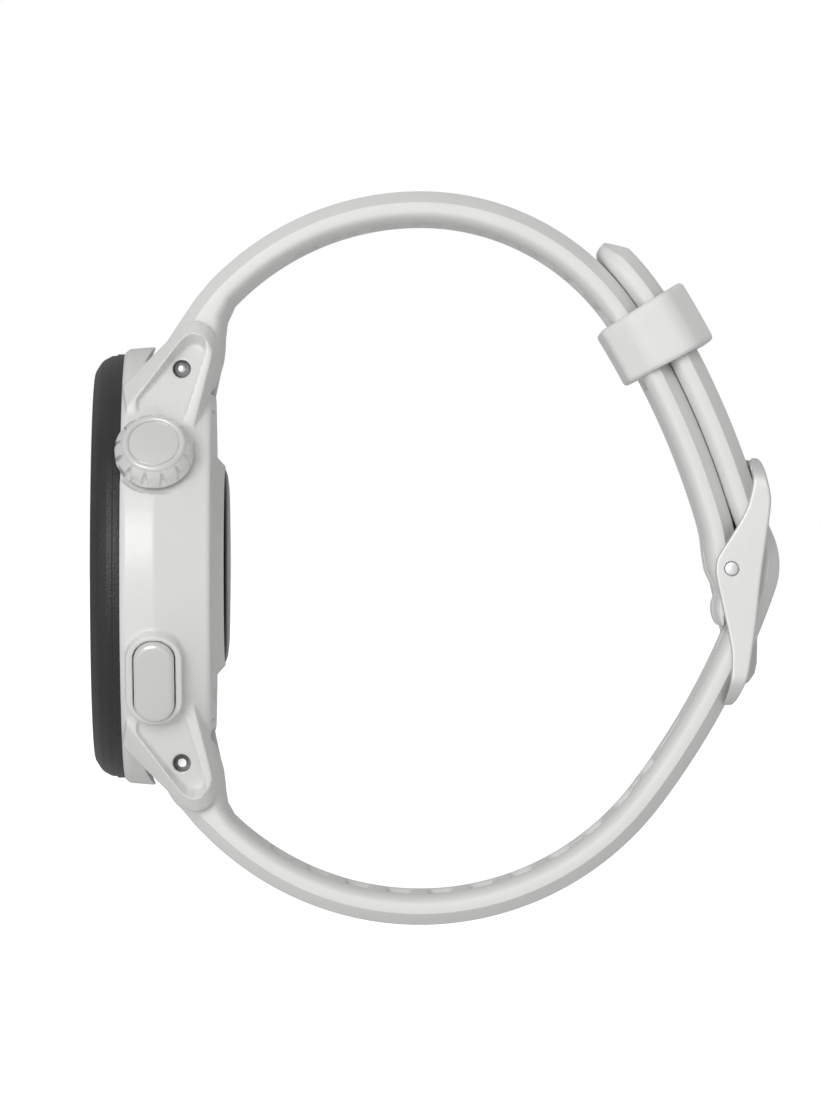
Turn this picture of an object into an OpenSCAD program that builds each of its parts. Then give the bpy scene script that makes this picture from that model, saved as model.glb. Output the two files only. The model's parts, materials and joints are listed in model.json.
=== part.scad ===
// Running watch with a buckled silicone band. Millimetres. The dial faces -Y, twelve o'clock
// is +Z, the crown side is +X, and the skin face of the optical sensor lies on Y = 0.
// Depths are given as heights above the skin face, so height 12.8 is Y = -12.8.

/* [Case] */
// Largest radius of the case, at the crease around its side
case_r = 20.97; // [20:0.01:22]
// Height of that crease above the skin face
crease_h = 6.73; // [5:0.01:8]
// Height of the case's front face, where the bezel sits
case_top_h = 10.0; // [9:0.05:11]
// Radius of the case at its front face
case_top_r = 20.3; // [19.5:0.05:21]
// Height of the case's flat back
back_h = 1.46; // [1:0.01:2.5]
// Radius of the wide chamber behind the dial
front_cavity_r = 17.9; // [17:0.05:18.5]
// Radius of the rear chamber that holds board and battery
rear_cavity_r = 17.3; // [16:0.05:17.8]
// Half height of the rear chamber between its two flats
rear_cavity_z = 14.2; // [13:0.1:15]

/* [Lugs] */
// Half width of the gap between a pair of lugs
lug_gap = 11.15; // [10:0.05:12]
// Outer face of each lug, from the middle
lug_out = 14.0; // [13:0.1:16]
// Depth from the middle at which the pocket in the lug's outer face stops, at its top
lug_web = 11.9; // [11.8:0.1:13]
// How far the lug's outer face leans out towards the case, in degrees
lug_flare = 9; // [0:1:12]
// How far the pocket's floor leans out towards the case, in degrees
pocket_slope = 26; // [10:1:30]
// Height of the spring bar's axis above the skin face
bar_h = 4.3; // [3.5:0.05:5]
// Distance of the spring bar's axis from the centre of the dial
bar_z = 18.6; // [18:0.05:20]
// Diameter of the hole for the spring bar
bar_hole_d = 1.7; // [1:0.05:2]

/* [Dial] */
// Height of the glass above the skin face
glass_h = 12.8; // [12:0.05:14]
// Radius of the glass
glass_r = 16.95; // [15:0.05:18]
// Outer radius of the bezel where it meets the case
bezel_r = 20.25; // [20:0.05:20.9]
// Radius where the bezel's flat face ends
bezel_face_r = 18.5; // [18:0.05:19.5]

/* [Sensor] */
// Radius of the dark sensor window
window_r = 9.3; // [8:0.05:10]
// Radius of the raised base around the window where it meets the back
bump_r = 10.7; // [10:0.05:12]

/* [Crown] */
// Angle of the crown above three o'clock
crown_angle = 30; // [0:1:45]
// Height of the crown's axis above the skin face
crown_h = 6.76; // [6:0.01:7.5]
// Diameter of the crown
crown_d = 7.4; // [6:0.1:8]
// Distance of the crown's underside from the centre of the dial
crown_in = 20.7; // [20.6:0.05:21.5]
// Distance of the crown's outer face from the centre of the dial
crown_out = 23.2; // [22:0.05:25]
// Number of grip notches
crown_notches = 13; // [8:1:24]
// How far the crown can be pressed
press_travel = 0.3; // [0.1:0.05:0.4]

/* [Button] */
// Angle of the button below three o'clock
button_angle = 30; // [15:1:45]
// Length of the button's cap
button_l = 8.5; // [6:0.1:9]
// Width of the button's cap
button_w = 3.8; // [3:0.1:4.2]
// Distance of the button's outer face from the centre of the dial
button_out = 22.25; // [21.8:0.05:23]

/* [Band] */
// Width of both straps
strap_w = 22; // [20:0.1:22]
// Thickness of both straps
strap_t = 2.9; // [2.5:0.05:3.2]
// Radius of the long edges
strap_edge = 1.1; // [0.5:0.1:1.4]
// Gap between the two straps where they overlap
strap_gap = 0.05; // [0.05:0.01:0.3]
// Sweep of the overlapping end beyond the keeper
tail_sweep = 13.6; // [5:0.1:30]
// Radius of the free end's rounded corners
tail_r = 5.5; // [3:0.5:10]
// Length of an adjustment slot
slot_l = 4.4; // [3:0.1:6]
// Width of an adjustment slot
slot_w = 2.5; // [2:0.1:4]

/* [Buckle] */
// Diameter of the buckle's pin
pin_d = 1.3; // [1:0.05:1.6]
// Thickness of a side arm
arm_t = 1.6; // [1:0.1:2]
// Width of the tongue
tongue_w = 2.0; // [1.5:0.1:2.3]
// Wall thickness of the keeper loop
keeper_wall = 1.4; // [1:0.1:2]
// Length of the keeper along the band, in degrees of arc
keeper_sweep = 4.3; // [3:0.1:6]

/* [Hidden] */
$fn = 48;
eps = 0.02;
half_w = strap_w / 2;
half_t = strap_t / 2;
strap_pitch = strap_t + strap_gap;
arm_in = half_w + 0.35;
arm_out = arm_in + arm_t;
shaft_d = 1.6;
bore_d = 1.72;
tube_d = 3.0;
screw_hole_d = 0.92;
bar_d = 1.56;
bar_bore_d = 1.0;
bar_rod_d = 0.92;
bar_travel = 1.2;
tube_half = 7.6;
tip_l = 3.2;
tip_d = 0.8;
tip_in = tube_half + 0.1;
strap_bore_d = 1.66;
notch_r = 3.55;
notch_h = 6.7;
cover_r = 17.5;
cover_z = 14.55;
cover_top = 2.5;
cell = [18, 3.9, 16.2];
// Where each strap's uniform part starts, its heading, and its arcs as [radius, sweep];
// a positive radius turns left seen from the crown side.
a_start = [-1.26, 25.32];
a_heading = 48.3;
a_arcs = [[-26.1, 48.5], [-23.2, 58.5], [-78, 14.7], [-14.6, 10.4]];
b_start = [-1.3, -24.333];
b_heading = -45.8;
b_arcs = [[27.17, 98.6], [71.525, 18.258], [5.757, 43.304], [-45, 6.502],
          [78 + strap_pitch, 13.44], [23.2 + strap_pitch, tail_sweep]];
pin_at = [47.6, -0.25];
keeper_centre = [-28.587, -17.612];
keeper_angle = 29.8;
screws = [[12.6, 9.2], [-12.6, 9.2], [12.6, -9.2], [-12.6, -9.2]];

// ---- working frames -------------------------------------------------------------------

// Turned about the dial's axis; the outline is [radius, height].
module lathe() rotate([90, 0, 0]) rotate_extrude() children();

// A flat outline seen from the back of the dial, between two heights.
module plate(h0, h1) translate([0, -h0, 0]) rotate([90, 0, 0]) linear_extrude(h1 - h0) children();

// An outline drawn in the side view [Y, Z], between two X positions.
module side(x0, x1) translate([x0, 0, 0]) rotate([90, 0, 90]) linear_extrude(x1 - x0) children();

// A rod along X through a point of the side view.
module rod(at, d, x0, x1) translate([x0, at[0], at[1]]) rotate([0, 90, 0]) cylinder(d = d, h = x1 - x0);

// A ring about the dial's axis.
module hoop(r1, r0, h0, h1) difference() {
    plate(h0, h1) circle(r1);
    plate(h0 - 1, h1 + 1) circle(r0);
}

// A disc with two flats, the shape of the rear chamber.
module barrel(r, z, h0, h1) intersection() {
    plate(h0, h1) circle(r);
    translate([-r - 1, -h1 - 1, -z]) cube([2 * r + 2, h1 - h0 + 2, 2 * z]);
}

// Local Z points straight out of the case side at the crown or at the button.
module at_crown() rotate([0, -crown_angle, 0]) translate([0, -crown_h, 0]) rotate([0, 90, 0]) children();
module at_button() rotate([0, button_angle, 0]) translate([0, -crown_h, 0]) rotate([0, 90, 0]) children();

module both_ends() { children(); mirror([0, 0, 1]) children(); }
module both_sides() { children(); mirror([1, 0, 0]) children(); }

module racetrack(l, w) {
    square([l - w, w], center = true);
    for (s = [-1, 1]) translate([s * (l - w) / 2, 0]) circle(d = w);
}

module ring_of(r, wire) rotate_extrude() translate([r, 0]) circle(wire);

// ---- case -----------------------------------------------------------------------------

lug_outline = [[-9.9, 10], [-9.9, 17.0], [-6.22, 20.7], [-4.63, 22.21], [-4.1, 22.8], [-3.4, 23.13],
               [-2.75, 23.2], [-1.88, 22.79], [-1.3, 22.1], [-0.92, 21.1], [-0.8, 19.83],
               [-1.16, 18.3], [-1.88, 15.5], [-2.5, 13.5], [-2.9, 10]];
lug_face = [[-9.3, 11], [-9.45, 14.84], [-6.2, 18.81], [-4.4, 20.98], [-3.7, 21.52], [-2.96, 21.66],
            [-2.2, 21.42], [-1.66, 20.85], [-1.42, 20.1], [-1.59, 19.1], [-3.1, 13.47], [-3.6, 11]];
lug_pocket = [[-8.6, 9], [-8.44, 14.98], [-4.55, 20.15], [-3.85, 20.85], [-3.1, 21.05], [-2.4, 20.8],
              [-2.0, 20.1], [-2.1, 19.3], [-3.97, 13.47], [-5, 9]];

// Leans a side-view shape outwards below a height, about a line at distance x from the middle.
module leaning(x, height, angle) translate([x, 0, height]) rotate([0, -angle, 0])
    translate([0, 0, -height]) children();

module lug() difference() {
    hull() {
        side(lug_gap, lug_gap + 0.9) polygon(lug_outline);
        leaning(lug_out, 21.6, lug_flare) side(-0.05, 0) polygon(lug_face);
    }
    leaning(lug_web, 20.5, pocket_slope) side(0, 6) polygon(lug_pocket);
}

// Room for the straps' thick ends; the lower one leaves straight out of the back.
module band_notch() {
    both_ends() {
        rod([-bar_h, bar_z], 2 * notch_r, -lug_gap, lug_gap);
        translate([-lug_gap, -notch_h, bar_z]) cube([2 * lug_gap, 8, 10]);
    }
    translate([-lug_gap, -bar_h, -bar_z - 7]) cube([2 * lug_gap, 6, 10]);
}

module at_screws() for (s = screws) translate([s[0], 0, s[1]]) children();

module case_shell() difference() {
    union() {
        lathe() polygon([[15, back_h], [19.2, back_h], [19.5, 1.56], [19.7, 1.85], [19.8, 2.3],
                         [case_r, crease_h], [20.75, 9.5], [case_top_r, case_top_h], [15, case_top_h]]);
        both_ends() both_sides() lug();
        at_button() translate([0, 0, 18.5]) linear_extrude(3.1) racetrack(9.6, 5.3);
    }
    plate(8.3, case_top_h + 1) circle(front_cavity_r);
    barrel(rear_cavity_r, rear_cavity_z, 3.3, 8.4);
    barrel(16, 13.3, 2, 3.4);
    barrel(cover_r + 0.1, cover_z + 0.1, 0, cover_top + eps);
}

module gasket_groove() difference() {
    barrel(16.95, 14.2, 2, 2.92);
    barrel(16.35, 13.65, 1, 3.4);
}

module case_body() color([0.86, 0.86, 0.84]) difference() {
    union() {
        case_shell();
        at_screws() plate(cover_top + eps, 5.2) circle(1.5);
    }
    gasket_groove();
    at_screws() plate(0, 4.8) circle(d = screw_hole_d);
    band_notch();
    both_ends() rod([-bar_h, bar_z], bar_hole_d, -lug_out - 2, lug_out + 2);
    at_crown() {
        translate([0, 0, 14]) cylinder(d = tube_d + 0.02, h = 8);
        translate([0, 0, 20.1]) cylinder(d = crown_d + 0.5, h = 5);
    }
    at_button() {
        translate([0, 0, 14]) cylinder(d = bore_d, h = 8);
        translate([0, 0, 19.6]) linear_extrude(5) racetrack(button_l + 0.2, button_w + 0.2);
    }
}

module bezel_ring() color([0.13, 0.13, 0.14]) difference() {
    lathe() polygon([[16.4, case_top_h], [bezel_r, case_top_h], [bezel_r, 10.65], [20.1, 11.3],
                     [19.75, 11.95], [19.2, 12.5], [bezel_face_r, glass_h], [16.4, glass_h]]);
    plate(11.4, glass_h + 1) circle(glass_r + 0.05);
}

module lens_glass() color([0.05, 0.05, 0.06]) plate(11.56, glass_h) circle(glass_r);
module lens_gasket() color([0.1, 0.1, 0.1]) hoop(16.95, 16.45, 11.4, 11.56);
module display_panel() color([0.08, 0.1, 0.12]) plate(10.0, 11.36) circle(16.2);
module display_flex() color([0.75, 0.5, 0.15])
    translate([-4, -10.0, -13.1]) cube([8, 2.0, 0.15]);
module antenna_ring() color([0.7, 0.55, 0.25]) difference() {
    hoop(17.75, 16.95, 9.25, 9.95);
    translate([-1, -11, 15]) cube([2, 4, 4]);
}

module inner_frame() color([0.25, 0.26, 0.28]) difference() {
    plate(8.35, 9.2) circle(17.75);
    translate([-11, -10, -9]) cube([22, 3, 18]);
    translate([-4.5, -10, -13.5]) cube([9, 3, 0.9]);
    at_screws() plate(8, 10) circle(0.8);
}

// ---- electronics ----------------------------------------------------------------------

module main_board() color([0.1, 0.35, 0.2]) difference() {
    barrel(17.0, 13.9, 7.2, 8.0);
    at_crown() translate([-2.4, -3, 13.2]) cube([4.8, 6, 8]);
    at_button() translate([-2.4, -3, 13.2]) cube([4.8, 6, 8]);
}

module shield_can() color([0.75, 0.76, 0.78]) translate([7.6, -7.18, -3.8]) cube([4.2, 1.8, 7.6]);
module battery() color([0.55, 0.56, 0.6]) translate([-11, -6.95, -8.1]) cube(cell);
module vibration_motor() color([0.72, 0.72, 0.74]) translate([-2, 0, 11.1]) plate(3.5, 6.3) circle(2.7);
module buzzer_disc() color([0.8, 0.68, 0.3]) translate([-2, 0, -11.1]) plate(3.5, 4.6) circle(2.7);
module pressure_sensor() color([0.6, 0.6, 0.62]) translate([-13.6, 0, 0]) plate(5.2, 7.18) circle(1.6);

module at_contacts() for (x = [-3.6, -1.2, 1.2, 3.6]) translate([x, 0, -12.4]) children();

module back_cover() color([0.9, 0.9, 0.89]) difference() {
    intersection() {
        lathe() polygon([[8.2, 1.32], [window_r + 0.03, 1.32], [window_r + 0.03, 0.42], [9.55, 0.42],
                         [bump_r, back_h], [cover_r, back_h], [cover_r, cover_top], [8.2, cover_top]]);
        translate([-20, -5, -cover_z]) cube([40, 6, 2 * cover_z]);
    }
    at_screws() {
        plate(0, 4) circle(d = 1.1);
        plate(0, 2.1) circle(d = 2.4);
    }
    at_contacts() plate(0, 4) circle(d = 1.32);
}

module back_gasket() color([0.15, 0.15, 0.16]) difference() {
    barrel(16.9, 14.15, cover_top, 2.9);
    barrel(16.4, 13.7, 2, 3.4);
}

module back_screws() color([0.7, 0.7, 0.72]) at_screws() {
    difference() {
        plate(1.7, 2.1) circle(d = 2.3);
        translate([-0.25, -1.95, -0.6]) cube([0.5, 0.5, 1.2]);
    }
    plate(2.1, 4.6) circle(d = screw_hole_d - 0.02);
}

module sensor_window() color([0.04, 0.04, 0.05])
    lathe() polygon([[0, 0], [5.4, 0], [7.6, 0.05], [8.6, 0.16], [9.1, 0.32], [window_r, 0.55],
                     [window_r, 1.3], [0, 1.3]]);

module sensor_board() color([0.1, 0.3, 0.2]) plate(2.0, 2.6) circle(7.9);
module chips(angles, r, w) for (a = angles) rotate([0, a, 0]) translate([r, 0, 0])
    plate(1.4, 2.0) square(w, center = true);
module sensor_leds() color([0.4, 0.85, 0.45]) chips([90, 210, 330], 1.9, 1.3);
module photodiodes() color([0.3, 0.2, 0.35]) chips([45, 135, 225, 315], 5.6, 2);
module charging_contacts() color([0.85, 0.7, 0.35]) at_contacts() plate(1.5, 2.95) circle(d = 1.3);

// ---- crown ----------------------------------------------------------------------------

module crown_cap() color([0.82, 0.82, 0.81]) at_crown() difference() {
    union() {
        translate([0, 0, crown_in]) cylinder(d1 = crown_d - 0.4, d2 = crown_d, h = 0.2);
        translate([0, 0, crown_in + 0.2]) cylinder(d = crown_d, h = 1.5);
        translate([0, 0, crown_in + 1.7]) cylinder(d1 = crown_d, d2 = 6.1, h = 0.8);
    }
    translate([0, 0, crown_out - 0.3]) cylinder(d = 4.8, h = 1);
    translate([0, 0, crown_in - 1]) cylinder(d = 4.2, h = 1.5);
    translate([0, 0, crown_in]) cylinder(d = shaft_d, h = 1.6);
    for (i = [0:crown_notches - 1]) rotate([0, 0, i * 360 / crown_notches])
        translate([crown_d / 2 + 0.12, 0, crown_in + 0.55]) cylinder(d = 0.9, h = 3, $fn = 6);
}

module crown_insert() color([0.78, 0.79, 0.8]) at_crown() translate([0, 0, crown_out - 0.3])
    cylinder(d = 4.7, h = 0.22);

module crown_shaft() color([0.7, 0.7, 0.72]) at_crown() difference() {
    translate([0, 0, 15.3]) cylinder(d = shaft_d, h = 6.9);
    for (z = [17.8, 19.0]) translate([0, 0, z]) difference() {
        cylinder(d = 3, h = 0.4);
        translate([0, 0, -1]) cylinder(d = 1.2, h = 3);
    }
    translate([0, 0, 16.55]) difference() {
        cylinder(d = 3, h = 0.3);
        translate([0, 0, -1]) cylinder(d = 1.2, h = 3);
    }
}

module crown_seals() color([0.12, 0.12, 0.12]) at_crown()
    for (z = [18.0, 19.2]) translate([0, 0, z]) ring_of(0.725, 0.12);

module crown_clip() color([0.6, 0.6, 0.62]) at_crown() translate([0, 0, 16.56]) difference() {
    cylinder(d = 2.6, h = 0.28);
    translate([0, 0, -1]) cylinder(d = 1.22, h = 3);
}

module crown_tube() color([0.75, 0.75, 0.77]) at_crown() translate([0, 0, 16.95]) difference() {
    cylinder(d = tube_d, h = 3.1);
    translate([0, 0, -1]) cylinder(d = bore_d, h = 6);
}

module crown_encoder() color([0.2, 0.2, 0.22]) at_crown() difference() {
    translate([-1.5, -1.5, 15.45]) cube([3, 3, 0.75]);
    translate([0, 0, 14]) cylinder(d = bore_d, h = 4);
}

module crown_switch() color([0.25, 0.25, 0.27]) at_crown() {
    translate([-1.4, -1.4, 13.7]) cube([2.8, 2.8, 0.95]);
    translate([0, 0, 14.65]) cylinder(d = 1.4, h = 0.3);
}

// ---- button ---------------------------------------------------------------------------

module button_cap() color([0.84, 0.84, 0.83]) at_button() {
    translate([0, 0, 20]) linear_extrude(button_out - 20.25) racetrack(button_l, button_w);
    translate([0, 0, button_out - 0.25]) linear_extrude(0.25) racetrack(button_l - 0.5, button_w - 0.5);
    difference() {
        translate([0, 0, 15.5]) cylinder(d = shaft_d, h = 4.5 + eps);
        for (z = [16.9, 18.2]) translate([0, 0, z]) difference() {
            cylinder(d = 3, h = z < 17 ? 0.25 : 0.4);
            translate([0, 0, -1]) cylinder(d = 1.2, h = 3);
        }
    }
}

module button_seal() color([0.12, 0.12, 0.12]) at_button() translate([0, 0, 18.4]) ring_of(0.725, 0.12);
module button_clip() color([0.6, 0.6, 0.62]) at_button() translate([0, 0, 16.91]) difference() {
    cylinder(d = 2.6, h = 0.23);
    translate([0, 0, -1]) cylinder(d = 1.22, h = 3);
}

module button_switch() color([0.25, 0.25, 0.27]) at_button() {
    translate([-1.4, -1.4, 13.8]) cube([2.8, 2.8, 1.05]);
    translate([0, 0, 14.85]) cylinder(d = 1.4, h = 0.3);
}

// ---- spring bars ----------------------------------------------------------------------

module slider(x) {
    rod([-bar_h, bar_z], bar_d, x, x + tip_l - 0.6);
    translate([x + tip_l - 0.6, -bar_h, bar_z]) rotate([0, 90, 0])
        cylinder(d1 = bar_d, d2 = tip_d, h = 0.2);
    rod([-bar_h, bar_z], tip_d, x + tip_l - 0.4, x + tip_l);
    rod([-bar_h, bar_z], bar_rod_d, x - 3.9, x + eps);
}

module upper_bar_tube() color([0.72, 0.72, 0.74]) mirror([1, 0, 0]) difference() {
    union() {
        rod([-bar_h, bar_z], bar_d, -11.6, tube_half);
        rod([-bar_h, bar_z], tip_d, -12.1, -11.6 + eps);
    }
    rod([-bar_h, bar_z], bar_bore_d, 2, tube_half + 1);
}

module upper_bar_slider() color([0.78, 0.78, 0.8]) mirror([1, 0, 0]) {
    slider(tip_in + bar_travel);
    translate([9.8, -bar_h, bar_z]) rotate([-90, 0, 0]) cylinder(d = 1.0, h = 3.15);
}

module upper_bar_spring() color([0.6, 0.6, 0.62]) rod([-bar_h, bar_z], 0.8, -3.75, -2.03);

module lower_bar_tube() color([0.72, 0.72, 0.74]) mirror([0, 0, 1]) difference() {
    rod([-bar_h, bar_z], bar_d, -tube_half, tube_half);
    both_sides() rod([-bar_h, bar_z], bar_bore_d, 2, tube_half + 1);
}

module lower_bar_slider() color([0.78, 0.78, 0.8]) mirror([0, 0, 1]) mirror([1, 0, 0]) {
    slider(tip_in);
    translate([8.6, -bar_h, bar_z]) rotate([-90, 0, 0]) cylinder(d = 1.0, h = 3.15);
}

module lower_bar_far_slider() color([0.78, 0.78, 0.8]) mirror([0, 0, 1]) slider(tip_in);

module lower_bar_springs() color([0.6, 0.6, 0.62])
    mirror([0, 0, 1]) both_sides() rod([-bar_h, bar_z], 0.8, 2.03, 3.75);

// ---- band -----------------------------------------------------------------------------

// The strap's section as [across the thickness, across the width], with bevelled long edges.
function strap_section(kt, dw) = let (t = half_t * kt, w = half_w - dw, e = strap_edge, f = 0.3 * e)
    [[t, w - e], [t - f * kt, w - f], [t - e * kt, w], [e * kt - t, w], [f * kt - t, w - f], [-t, w - e],
     [-t, e - w], [f * kt - t, f - w], [e * kt - t, -w], [t - e * kt, -w], [t - f * kt, f - w], [t, e - w]];

function centre_of(p, heading, r) = [p[0] - r * sin(heading), p[1] + r * cos(heading)];
function end_of(p, heading, r, sweep) = let (c = centre_of(p, heading, r), t = heading + sign(r) * sweep)
    [c[0] + r * sin(t), c[1] - r * cos(t)];

// Stations along a chain of arcs, each [Y, Z, heading, thickness factor, width reduction].
function stations(p, heading, arcs, i = 0) = i == len(arcs) ? [[p[0], p[1], heading, 1, 0]] : let (
    r = arcs[i][0], sweep = arcs[i][1], n = max(1, ceil(sweep / 4)),
    done = [for (k = [0:n - 1]) let (q = end_of(p, heading, r, k * sweep / n))
        [q[0], q[1], heading + sign(r) * k * sweep / n, 1, 0]])
    concat(done, stations(end_of(p, heading, r, sweep), heading + sign(r) * sweep, arcs, i + 1));

// The free end at distance d from its tip: its outer face, its inner face, its rounded corners.
tip_straight = 1.75;
function tip_top(d) = half_t - 1.12 * max(0, 1 - d / 2);
function tip_bottom(d) = d > 1.15 ? -half_t : 0.98 * (1 - sqrt(1 - pow(1 - d / 1.15, 2))) - half_t;
function tip_corner(d) = d > tail_r ? 0 : tail_r - sqrt(pow(tail_r, 2) - pow(tail_r - d, 2));
function tip_station(s, d) = let (m = (tip_top(d) + tip_bottom(d)) / 2)
    [s[0] + m * sin(s[2]), s[1] - m * cos(s[2]), s[2], (tip_top(d) - tip_bottom(d)) / strap_t,
     tip_corner(d)];
function with_tip(st) = let (e = st[len(st) - 1]) concat(
    [for (s = st) tip_station(s, tip_straight + norm([s[0] - e[0], s[1] - e[1]]))],
    [for (d = [1.4, 1.1, 0.8, 0.5, 0.25, 0.08, 0]) let (u = tip_straight - d)
        tip_station([e[0] + u * cos(e[2]), e[1] + u * sin(e[2]), e[2]], d)]);

module strap_run(st) {
    m = 12;
    points = [for (s = st, q = strap_section(s[3], s[4]))
        [q[1], s[0] - q[0] * sin(s[2]), s[1] + q[0] * cos(s[2])]];
    walls = [for (i = [0:len(st) - 2], j = [0:m - 1]) let (a = i * m + j, b = i * m + (j + 1) % m)
        [a, a + m, b + m, b]];
    caps = [[for (j = [0:m - 1]) j], [for (j = [m - 1:-1:0]) (len(st) - 1) * m + j]];
    polyhedron(points, concat(walls, caps), convexity = 8);
}

// Part of a turn about a point of the side view.
module revolve(at, start, sweep) translate([0, at[0], at[1]]) rotate([90, 0, 90])
    rotate([0, 0, start]) rotate_extrude(angle = sweep) children();

strap_root = [[-1.93, 26.72], [-2.34, 26.28], [-3.25, 25.1], [-4.15, 23.75], [-5.0, 22.5],
              [-5.75, 21.3], [-6.75, 19.5], [-6.85, 18.2], [-6.3, 16.95], [-5.3, 16.25],
              [-4.3, 16.05], [-2.6, 16.2], [-1.5, 16.9], [-1.1, 17.9], [-0.6, 19.8], [-0.5, 21.5],
              [-0.38, 22.8], [-0.25, 23.8], [0.22, 24.8]];
lower_root = [[-1.93, -25.73], [-2.34, -25.34], [-3.3, -24.4], [-4.4, -23.0], [-5.1, -22.0],
              [-5.75, -21.1], [-6.75, -19.5], [-6.85, -18.2], [-6.3, -16.95], [-5.3, -16.25],
              [-4.3, -16.05], [-2.6, -16.2], [-1.5, -16.9], [-1.1, -17.9], [-0.65, -19.8], [-0.55, -21.0],
              [-0.42, -22.0], [-0.28, -22.8], [-0.08, -23.4], [0.22, -23.77]];
buckle_end = [[45.2, 2.37], [45.24, 1.92], [45.35, 1.0], [45.5, 0.0], [45.62, -0.5], [45.86, -1.1],
              [46.22, -1.75], [46.48, -2.45], [46.46, -2.85], [46.22, -3.5], [46.2, -4.4],
              [46.44, -5.2], [46.85, -5.7], [47.15, -5.2], [47.6, -4.2], [48.0, -3.0],
              [48.45, -1.6], [48.8, -0.5], [48.7, 0.8], [48.4, 1.6], [48.13, 2.23],
              [48.04, 2.78]];

module lever_slot(x0, x1) translate([x0, -bar_h, bar_z - 0.7]) cube([x1 - x0, 5, 1.4]);

module buckle_strap() color([0.88, 0.88, 0.87]) difference() {
    union() {
        side(-half_w, half_w) polygon(strap_root);
        strap_run(stations(a_start, a_heading, a_arcs));
        side(-half_w, half_w) polygon(buckle_end);
    }
    rod([-bar_h, bar_z], strap_bore_d, -half_w - 1, half_w + 1);
    lever_slot(-10.6, -8.0);
    rod(pin_at, pin_d + 0.1, -half_w - 1, half_w + 1);
    translate([-tongue_w / 2 - 0.3, 44, -8]) cube([tongue_w + 0.6, 8, 9.7]);
}

// A slot with round ends cut straight through the strap at an angle about a centre.
module slot_at(c, angle, r0, l) translate([0, c[0], c[1]]) rotate([90, 0, 90]) rotate([0, 0, angle])
    translate([r0, 0, 0]) rotate([0, 90, 0]) linear_extrude(6) racetrack_y(slot_w, l);

module racetrack_y(w, l) {
    square([w, l - w], center = true);
    for (s = [-1, 1]) translate([0, s * (l - w) / 2]) circle(d = w);
}

module holes_strap() color([0.88, 0.88, 0.87]) difference() {
    union() {
        mirror([0, 0, 1]) side(-half_w, half_w) polygon([for (p = lower_root) [p[0], -p[1]]]);
        strap_run(with_tip(stations(b_start, b_heading, b_arcs)));
    }
    mirror([0, 0, 1]) rod([-bar_h, bar_z], strap_bore_d, -half_w - 1, half_w + 1);
    mirror([0, 0, 1]) lever_slot(-10.3, -7.7);
    slot_at([44.4, -3.3], -14, 0.9, 8.7);
    for (a = [-52, -38, -24]) slot_at([18.17, -5.4], a, 24, slot_l);
    for (a = [19:5:34]) slot_at(keeper_centre, a, 77, slot_l);
}

module keeper_loop() color([0.86, 0.86, 0.85])
    revolve(keeper_centre, keeper_angle - keeper_sweep / 2, keeper_sweep) difference() {
        keeper_outline(keeper_wall, 2.2);
        keeper_outline(0, 0.9);
    }

module keeper_outline(grow, edge) {
    r0 = 78 - half_t - 0.1 - 0.9 * grow;
    r1 = 78 + strap_pitch + half_t + 0.3 + 1.1 * grow;
    w = half_w + 0.2 + grow;
    translate([r0 + edge, -w]) square([r1 - r0 - 2 * edge, 2 * w]);
    translate([r0, -w + edge]) square([r1 - r0, 2 * (w - edge)]);
    for (x = [r0 + edge, r1 - edge], y = [edge - w, w - edge]) translate([x, y]) circle(edge);
}

// ---- buckle ---------------------------------------------------------------------------

arm_outline = [[49.55, 10.2], [50.35, 9.9], [50.85, 8.7], [51.2, 7.0], [51.35, 5.9], [51.2, 4.5],
               [50.5, -0.25], [49.75, -7.0], [49.55, -9.0], [49.2, -10.5], [48.8, -11.6],
               [48.2, -12.45], [47.8, -12.95], [47.4, -13.15], [46.95, -13.1], [47.1, -12.8],
               [47.4, -12.05], [47.65, -10.0], [47.65, -8.0], [47.45, -6.8], [46.35, -2.1],
               [46.15, -1.1], [46.1, -0.25], [46.3, 0.7], [48.3, 4.0], [48.9, 4.8], [49.25, 5.5],
               [49.5, 6.7], [49.65, 8.0], [49.6, 9.0]];
top_bar = [[49.78, 8.2], [49.48, 9.2], [49.42, 9.8], [49.68, 10.15], [50.3, 10.0], [50.7, 9.2],
           [50.75, 8.5], [50.3, 8.1]];
low_bar = [[48.0, -12.85], [48.4, -12.25], [48.85, -11.2], [48.7, -10.85], [48.4, -10.95],
           [48.2, -11.5], [47.66, -12.5], [47.66, -12.9]];
tongue_outline = [[48.5, 0.1], [49.5, -1.6], [50.45, -3.9], [50.6, -5.0], [50.45, -6.6], [50.4, -9.3],
                  [50.15, -10.3], [49.6, -11.1], [49.15, -11.35], [49.2, -10.6], [49.4, -9.4],
                  [49.5, -8.0], [49.55, -6.6], [49.7, -5.1], [49.55, -4.2], [48.6, -2.2],
                  [47.9, -1.35]];

module buckle_frame() color([0.8, 0.8, 0.81]) difference() {
    union() {
        both_sides() side(arm_in, arm_out) polygon(arm_outline);
        side(-arm_in - eps, arm_in + eps) polygon(top_bar);
        side(-arm_in - eps, arm_in + eps) polygon(low_bar);
    }
    rod(pin_at, pin_d, -arm_out - 1, arm_out + 1);
}

module buckle_pin() color([0.9, 0.9, 0.9]) rod(pin_at, pin_d, -arm_out - 0.06, arm_out + 0.06);

module buckle_tongue() color([0.8, 0.8, 0.81]) difference() {
    union() {
        rod(pin_at, 2.4, -tongue_w / 2, tongue_w / 2);
        side(-tongue_w / 2, tongue_w / 2) polygon(tongue_outline);
    }
    rod(pin_at, pin_d + 0.08, -3, 3);
}

// ---- nodes ----------------------------------------------------------------------------

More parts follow.
